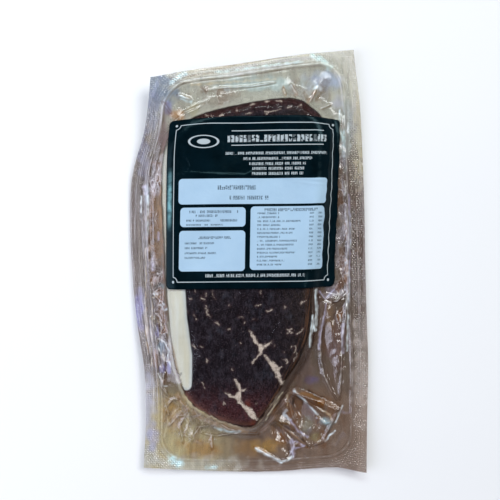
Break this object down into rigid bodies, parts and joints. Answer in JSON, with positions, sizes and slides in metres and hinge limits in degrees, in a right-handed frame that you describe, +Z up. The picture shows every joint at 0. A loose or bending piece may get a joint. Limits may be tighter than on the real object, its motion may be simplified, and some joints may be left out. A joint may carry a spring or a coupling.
{
  "type": "vacuum packed striploin steak",
  "caption": "Raw striploin steak with a strip of fat along its side, sealed in a clear vacuum pack with a printed paper label on top, lying flat.",
  "frame": {"origin": "middle of the pack's outline, on the surface that the pack lies on", "axes": "+X towards the pack's right side as the label is read, +Y towards its top end, +Z up through the label"},
  "size_m": [0.142, 0.251, 0.0157],
  "materials": {
    "film": "clear, wrinkled, glossy",
    "label_paper": "printed, satin",
    "lean": "raw dark red meat with cream fat, wet"
  },
  "bodies": {
    "root": {"vacuum_pack": "film", "label": "label_paper"}
  },
  "joints": []
}
